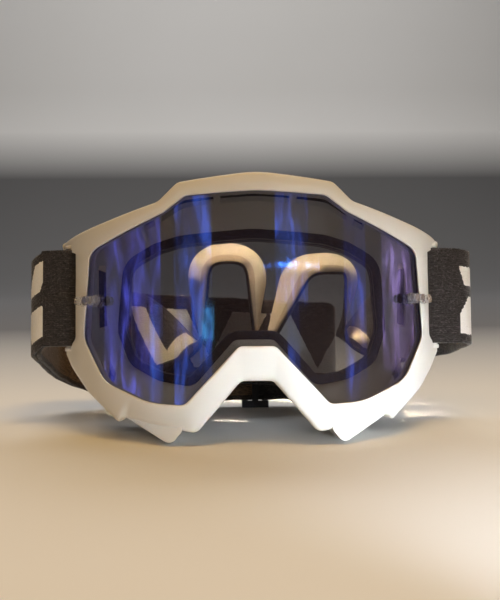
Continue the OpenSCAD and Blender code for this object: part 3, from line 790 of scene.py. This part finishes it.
def strap_path(line, spacing):
    """Even points along a path with its corners rounded, how far along they and the corners lie."""
    pts = [np.array(p[:4] + [p[5] if len(p) > 5 else 0], float) for p in line]
    n, steps, share, end_share = len(pts), 24, 0.49, 0.95
    dense, marks = [pts[0]], {0: 0}
    for i in range(1, n - 1):
        dense += bend(pts[i - 1], pts[i], pts[i + 1], line[i][4], steps,
                      end_share if i == 1 else share, end_share if i == n - 2 else share)
        marks[i] = len(dense) - steps // 2 - 1
    dense = np.array(dense + [pts[-1]])
    run = run_along(dense[:, :3])
    at = np.linspace(0, run[-1], int(run[-1] / spacing) + 1)
    path = np.stack([np.interp(at, run, dense[:, k]) for k in range(5)], 1)
    for _ in range(6):
        path[1:-1, 3:] = (path[:-2, 3:] + 2 * path[1:-1, 3:] + path[2:, 3:]) / 4
    return path, at, {i: run[k] for i, k in marks.items()}


def webbing_section():
    """The strap's section, as [off its middle plane, across], with round edges."""
    half, h, ends = strap_w / 2, strap_t / 2, np.radians([30, 60, 90, 120, 150])
    edge = h * 0.9
    vs = np.linspace(-half + edge, half - edge, 30)
    section = [(h, v) for v in vs]
    section += [(h * math.cos(a), half - edge + edge * math.sin(a)) for a in ends]
    section += [(-h, v) for v in vs[::-1]]
    section += [(-h * math.cos(a), -half + edge - edge * math.sin(a)) for a in ends]
    return np.array(section)


def webbing_mesh(line, seed, aside=0.0):
    """Points, faces and UV of a strap along a path, or aside from it, and how far along its corners lie."""
    path, at, marks = strap_path(line, 0.9)
    t = np.empty((len(path), 3))
    t[1:-1] = path[2:, :3] - path[:-2, :3]
    t[0], t[-1] = path[1, :3] - path[0, :3], path[-1, :3] - path[-2, :3]
    roll, flare = np.radians(path[:, 3]), np.radians(path[:, 4])[:, None]
    upright = np.stack([0 * roll, np.sin(roll), np.cos(roll)], 1)
    face = np.cross(upright, t)
    face /= np.linalg.norm(face, axis=1)[:, None]
    across = upright * np.cos(flare) + face * np.sin(flare)
    out = face * np.cos(flare) - upright * np.sin(flare)
    section = webbing_section()
    n, m = len(path), len(section)
    phase = np.random.default_rng(seed).uniform(0, 6.28, 4)
    points, uv = np.empty((n, m, 3)), np.empty((n, m, 2))
    off = (aside + section[:, 0])[:, None]
    for i in range(n):
        wave = 0.12 * np.sin(at[i] / 4.1 + phase[0]) + 0.1 * np.sin(at[i] / 1.9 + phase[1])
        waved = (section[:, 1] * (1 + wave / (strap_w / 2)))[:, None]
        points[i] = path[i, :3] + out[i] * off + across[i] * waved
        uv[i, :, 0] = at[i]
        uv[i, :, 1] = section[:, 1] + np.where(section[:, 0] > 0, SECOND_FACE, 0)
    points, faces = loft(points, closed=False)
    return points, capped(points, faces, m), uv.reshape(-1, 2), marks


def arch_stripes(mark):
    """The cream lining of both arches on the second face, and slanted bars on either side of them."""
    right_arch, left_arch = (mark[5], mark[8]), (mark[9], mark[12])
    stripes = [[(a + b) / 2 + shift, (b - a) / 2 - 4, 0.0, -9.5, 23]
               for a, b, shift in ((*right_arch, 2), (*left_arch, 0))]
    trims = [[mid, half, 0.0, -23, -9.3] for mid, half, _, _, _ in stripes]
    for start, stop, pitch, slants, lowest in (
            (left_arch[1] + 9, mark[13] + 14, 17, (-0.4, 0.5), -17),
            (mark[2] + 12, right_arch[0] - 6, 19, (0.4, -0.5), -16)):
        for k, at_u in enumerate(np.arange(start, stop, pitch)):
            stripes.append([at_u, 4.6, slants[k % 2], lowest, 15])
    return stripes, trims


def band_blocks(mark, long):
    """The cream figures of the first face: by the right bar, along the folds and by the left bar."""
    blocks = [[11, 7, -0.3, 5, 14], [13, 8.5, 0.5, -18, 0], [36, 7, 0.45, -16, 16], [60, 6, 0.45, -16, 16]]
    u = mark[13] + 4
    for k in range(9):
        blocks.append([u, 5.5 if k % 3 else 9, 0.5 if k % 2 else -0.5, -15, 15])
        u += 24 if k % 3 else 31
    left_end = ((8, 4.5, 0.45, 4, 18), (8, 6.5, -0.4, -18, -3), (34, 7, 0.45, -16, 16),
                (58, 5, 0.45, -16, 16))
    return blocks + [[long - from_end, *figure] for from_end, *figure in left_end]


band_pts, band_faces, band_uv, band_mark = webbing_mesh(RIGHT_TURN + ARCHES + FOLDS + LEFT_TURN, seed=5)
band_long = band_uv[-1, 0]
band_stripes, band_trims = arch_stripes(band_mark)
webbing = webbing_material("strap_weave", band_stripes, band_blocks(band_mark, band_long), band_trims,
                           26.0, band_long - 74)
inner_webbing = webbing_material("strap_weave_inner", [], [], [], 1000.0, 2000.0)
make("strap_band_webbing", band_pts, band_faces, webbing, stands_for=("strap_band",), slot="strap_webbing",
     uv=band_uv)

return_line = [[slider_x, rear_y, rear_mid, 0, 0]] + LEFT_TURN
return_pts, return_faces, return_uv, _ = webbing_mesh(return_line, aside=layer, seed=7)
make("strap_return_webbing", return_pts, return_faces, inner_webbing, stands_for=("strap_return",),
     slot="strap_webbing", uv=return_uv)


def bar_place(side, p):
    """Points beside a bar, as [along the strap's end, off it, up], in the drawing frame."""
    p = np.asarray(p, float)
    c, s = math.cos(out_a), math.sin(out_a)
    x = bar_x + p[:, 0] * c - p[:, 1] * s
    y = bar_y + p[:, 0] * s + p[:, 1] * c
    return np.stack([side * x, y, lug_low + p[:, 2]], 1)


def swept(outline, along=None):
    """A solid as high as the strap is wide, its end faces eased, with a UV that runs along it or in x."""
    rows = 30
    zs = np.concatenate([[0, 0.25], np.linspace(0.8, strap_w - 0.8, rows), [strap_w - 0.25, strap_w]])
    ease = np.concatenate([[0.45, 0.12], np.zeros(rows), [0.12, 0.45]])
    out = outline - outline.mean(0)
    out = out / np.linalg.norm(out, axis=1)[:, None]
    loops = [np.column_stack([outline - out * s, np.full(len(outline), z)]) for z, s in zip(zs, ease)]
    points, faces = loft(loops, closed=False)
    uv = [np.column_stack([loop[:, 0] if along is None else along, loop[:, 2] - strap_w / 2])
          for loop in loops]
    return points, capped(points, faces, len(outline)), np.concatenate(uv)


tab_top = -loop_r + strap_t + layer


def build_end_loop(side, word):
    """The strap's sewn end, round its bar and back along itself."""
    a = np.radians(np.linspace(70, 270, 26))
    neck = loop_r * math.sin(math.radians(20))
    outline = [[loop_r * math.cos(k), loop_r * math.sin(k)] for k in a]
    outline += [[x, -loop_r] for x in np.linspace(0.6, tab_l - 0.4, 12)]
    outline += [[tab_l, -loop_r + 0.35], [tab_l, tab_top - 0.4], [tab_l - 0.5, tab_top],
                [tab_l - 2, tab_top], [neck + 2.2, loop_r * 0.62], [neck + 0.9, loop_r * 0.83]]
    outline = np.array(outline)
    points, faces, uv = swept(outline, along=run_along(outline))
    piece = make("strap_loop_" + word + "_webbing", bar_place(side, points), faces, inner_webbing, uv=uv,
                 body="strap_loop_" + word, stands_for=("strap_loop_" + word,), slot="strap_webbing")
    mend_normals(piece)


def build_flex(side, word):
    """The stretch that flexes between an end loop and the rest of the strap."""
    near, far = tab_l - 0.4, tab_l + flex_l + 1.0
    foot, mid, top = -loop_r + 0.04, -loop_r + strap_t, tab_top - 0.2
    outline = np.array([[near, foot], [far, foot], [far, mid], [far, top], [near, top], [near, mid]])
    points, faces, uv = swept(outline)
    piece = make("strap_flex_" + word + "_webbing", bar_place(side, points), faces, inner_webbing, uv=uv,
                 body=None, slot="strap_webbing")
    mend_normals(piece)
    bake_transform(piece)
    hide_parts("strap_flex_" + word)


for side, word in SIDES:
    build_end_loop(side, word)
    build_flex(side, word)

# CAD nodes that keep their shape, by the start of their names, with material and edge radius
KEPT = {"tear_off_post": (clear_plastic, 0.35), "post_retainer": (clear_plastic, 0.2),
        "strap_adjuster": (black_plastic, 0.6), "vent_foam": (filter_foam, 0.4)}
for name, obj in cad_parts.items():
    for start, (surface, width) in KEPT.items():
        if name.startswith(start):
            for place in obj.material_slots:
                place.material = surface
            if not obj.material_slots:
                obj.data.materials.append(surface)
            bevel(obj, width, 3, 40)


def floor_paper():
    """Pale paper, with painted shade: a dark band across the backdrop."""
    g = Paint("studio_floor")
    where = g.places()
    paper = g.mix(g.noise(where, Scale=3.0, Detail=3.0), (0.82, 0.81, 0.79), (0.86, 0.85, 0.84))
    _, back, up = g.split(where)
    rise = g.calc("ADD", g.calc("MULTIPLY", back, 0.25), up)
    # Painted shade: the paper darkens from just behind the goggles, over the floor and the foot of the
    # backdrop, and is pale again higher up.
    shade = g.ramp(rise, (0.0, (1, 1, 1)), (0.03, (0.9, 0.9, 0.9)), (0.16, (0.24, 0.24, 0.25)),
                   (0.5, (0.18, 0.18, 0.185)), (0.84, (0.16, 0.16, 0.165)), (1.0, (1, 1, 1)))
    g.set("Base Color", g.mix(1, paper, shade, blend_type="MULTIPLY"))
    g.set("Roughness", 0.9)
    g.set("Specular IOR Level", 0)
    return g.material


def build_floor():
    """A floor that bends up into a backdrop, in metres."""
    half_width, front, bend_at, bend_r, top = 4, -3, 1.6, 0.8, 4
    profile = [(front, 0.0), (bend_at, 0.0)]
    profile += [(bend_at + bend_r * math.sin(a), bend_r - bend_r * math.cos(a))
                for a in np.linspace(0.1, math.pi / 2, 12)]
    profile.append((bend_at + bend_r, top))
    mesh = bpy.data.meshes.new("studio_floor")
    verts = [(x, y, z) for y, z in profile for x in (-half_width, half_width)]
    quads = [(2 * i, 2 * i + 1, 2 * i + 3, 2 * i + 2) for i in range(len(profile) - 1)]
    mesh.from_pydata(verts, [], quads)
    mesh.materials.append(floor_paper())
    mesh.shade_smooth()
    floor = bpy.data.objects.new("studio_floor", mesh)
    bpy.context.scene.collection.objects.link(floor)


def build_world():
    """Dim surroundings, brighter toward the back than toward the camera."""
    world = bpy.data.worlds.new("studio")
    world.use_nodes = True
    g = Graph(world.node_tree)
    heading = g.split(g.add("ShaderNodeTexCoord").outputs["Generated"])
    toward_back = g.calc("MULTIPLY_ADD", heading[1], 0.5, 0.5)
    tone = g.ramp(toward_back, (0.2, (0.05, 0.048, 0.05)), (0.55, (0.30, 0.28, 0.26)),
                  (1.0, (0.8, 0.78, 0.75)))
    background = g.nodes["Background"]
    g.feed(background.inputs["Color"], tone)
    g.feed(background.inputs["Strength"], 0.17)
    bpy.context.scene.world = world
    bpy.context.scene.view_settings.view_transform = "Standard"


def put(obj, right, up, away, place):
    """Links an object and sets it at a place, with these directions as its own x, y and z."""
    bpy.context.scene.collection.objects.link(obj)
    obj.matrix_world = Matrix([*zip(right, up, away, place), (0, 0, 0, 1)])


# The camera as fitted to the photo: its place in the drawing frame, and its angles in degrees
EYE = np.array([-16.08, -416.23, 29.87])
YAW, PITCH, ROLL = 1.806, 4.165, -0.575


def build_camera():
    yaw, pitch, roll = (math.radians(a) for a in (YAW, PITCH, ROLL))
    ahead = np.array([math.sin(yaw) * math.cos(pitch), math.cos(yaw) * math.cos(pitch), math.sin(pitch)])
    level = np.array([math.cos(yaw), -math.sin(yaw), 0])
    above = np.cross(level, ahead)
    right = turned(level * math.cos(roll) + above * math.sin(roll))[0]
    up = turned(-level * math.sin(roll) + above * math.cos(roll))[0]
    data = bpy.data.cameras.new("camera")
    data.sensor_fit, data.sensor_height, data.sensor_width, data.lens = "VERTICAL", 36, 36, 60
    camera = bpy.data.objects.new("camera", data)
    put(camera, right, up, -turned(ahead)[0], row([EYE])[0])
    bpy.context.scene.camera = camera


MIDDLE = (0, 0, 0.06)


def area_light(name, width, height, power, colour):
    data = bpy.data.lights.new(name, "AREA")
    data.shape, data.size, data.size_y = "RECTANGLE", width, height
    data.energy, data.color = power, colour
    return data


def lamp(name, place, size, power, colour, glossy=False, target=MIDDLE, spread=180):
    """A soft lamp that faces its target, in metres. A grid over it narrows its light to spread degrees."""
    data = area_light(name, *size, power, colour)
    data.spread = math.radians(spread)
    obj = bpy.data.objects.new(name, data)
    away = unit(np.array(place) - np.array(target))
    right = unit(np.cross([0, 0, 1], away))
    put(obj, right, np.cross(away, right), away, place)
    obj.visible_glossy, obj.visible_camera = glossy, False


def around(azimuth, height, far):
    a = math.radians(azimuth)
    return (far * math.sin(a), -far * math.cos(a), height)


def mirrored_place(x, z, far):
    """What the lens mirrors to the camera at x and z: the place at far metres from there."""
    front_r = lens_r - lip_t
    at = np.array([x, lens_depth(x, lip_t), z])
    out = unit(np.array([x, -front_r * math.cos(math.asin(x / front_r)), 0]))
    ray = unit(at - EYE)
    ray = ray - 2 * (ray @ out) * out
    return row([at + ray * far * 1000])[0]


def window(name, x0, x1, z0, z1, bright, colour, seed):
    """A streaked lamp that the lens mirrors, from the camera, between these places on the lens."""
    streak_w, streak_h, far = 5.0, 26, 1.3
    corners = np.array([mirrored_place(x, z, far) for x, z in ((x0, z0), (x1, z0), (x1, z1), (x0, z1))])
    mid = corners.mean(0)
    side = (corners[1] + corners[2] - corners[0] - corners[3]) / 2
    rise = (corners[2] + corners[3] - corners[0] - corners[1]) / 2
    right = unit(side)
    rise = rise - (rise @ right) * right
    up = unit(rise)
    away = np.cross(right, up)
    if away @ (mid - np.array(MIDDLE)) < 0:
        right, away = -right, -away
    data = area_light(name, np.linalg.norm(side), np.linalg.norm(rise), 0, colour)
    data.energy = bright * math.pi * data.size * data.size_y
    data.use_nodes = True
    g = Graph(data.node_tree)
    streaks = g.texture("ShaderNodeMapping", g.add("ShaderNodeNewGeometry").outputs["Parametric"],
                        Scale=((x1 - x0) / streak_w, (z1 - z0) / streak_h, 1),
                        Location=(seed * 7.3, seed * 3.1, seed)).outputs[0]
    streak = g.noise(streaks, Scale=1.0, Detail=4.0, Distortion=0.6)
    g.feed(g.nodes["Emission"].inputs["Strength"],
           g.ramp(streak, (0.38, (0.05, 0.05, 0.05)), (0.54, (0.42, 0.42, 0.42)), (0.70, (2.0, 2.0, 2.0))))
    box = bpy.data.objects.new(name, data)
    put(box, right, up, away, mid)
    box.visible_diffuse, box.visible_camera = False, False


build_floor()
build_world()
build_camera()
lamp("key_right", around(38, 0.12, 0.6), (0.3, 0.2), 0.22, (0.74, 0.87, 1.0))
lamp("warm_top_left", around(-24, 0.85, 0.6), (0.6, 0.6), 1.5, (1.0, 0.60, 0.20))
lamp("warm_top_front", around(26, 0.95, 0.45), (0.4, 0.25), 3.1, (1.0, 0.64, 0.22))
lamp("top_soft", (0.1, 0.35, 1.3), (0.9, 0.6), 1.4, (1.0, 0.84, 0.64), glossy=True)
lamp("back_soft", (0, 1.3, 1.5), (2.6, 0.9), 22, (1, 1, 1))
lamp("backdrop_wash", (0, 1.2, 1.7), (1.6, 0.3), 7.0, (1.0, 1.0, 1.0), target=(0, 2.4, 0.75), spread=120)
lamp("inner_soft", (0.012, -0.03, 0.60), (0.12, 0.04), 0.09, (1.0, 0.80, 0.58), target=(0.012, 0.03, 0.09),
     spread=9)
lamp("low_key", (0.13, -0.29, 0.02), (0.12, 0.03), 0.075, (0.78, 0.89, 1.0), target=(0.048, -0.05, 0.018),
     spread=44)

# The lamps that the lens mirrors, as x and z on the lens, brightness and colour
WINDOWS = ((-67, -41, 10, 98, 1.1, (0.55, 0.5, 0.9)), (-35, -19, 12, 106, 1.0, (0.4, 0.7, 1.0)),
           (8, 22, 60, 107, 1.2, (0.4, 0.7, 1.0)), (13, 18, 20, 60, 0.7, (0.4, 0.7, 1.0)),
           (3, 27, 73.4, 74.8, 9.0, (0.3, 0.9, 1.0)), (38, 48, 16, 98, 0.6, (0.4, 0.6, 1.0)),
           (56, 73, 30, 98, 1.9, (1.0, 0.6, 0.42)), (-25, -18, 44, 58, 3.0, (0.3, 1.0, 0.55)),
           (-46, -40, 18, 60, 1.0, (0.3, 0.75, 1.0)))
for k, spec in enumerate(WINDOWS):
    window("window_%d" % k, *spec, k + 1)
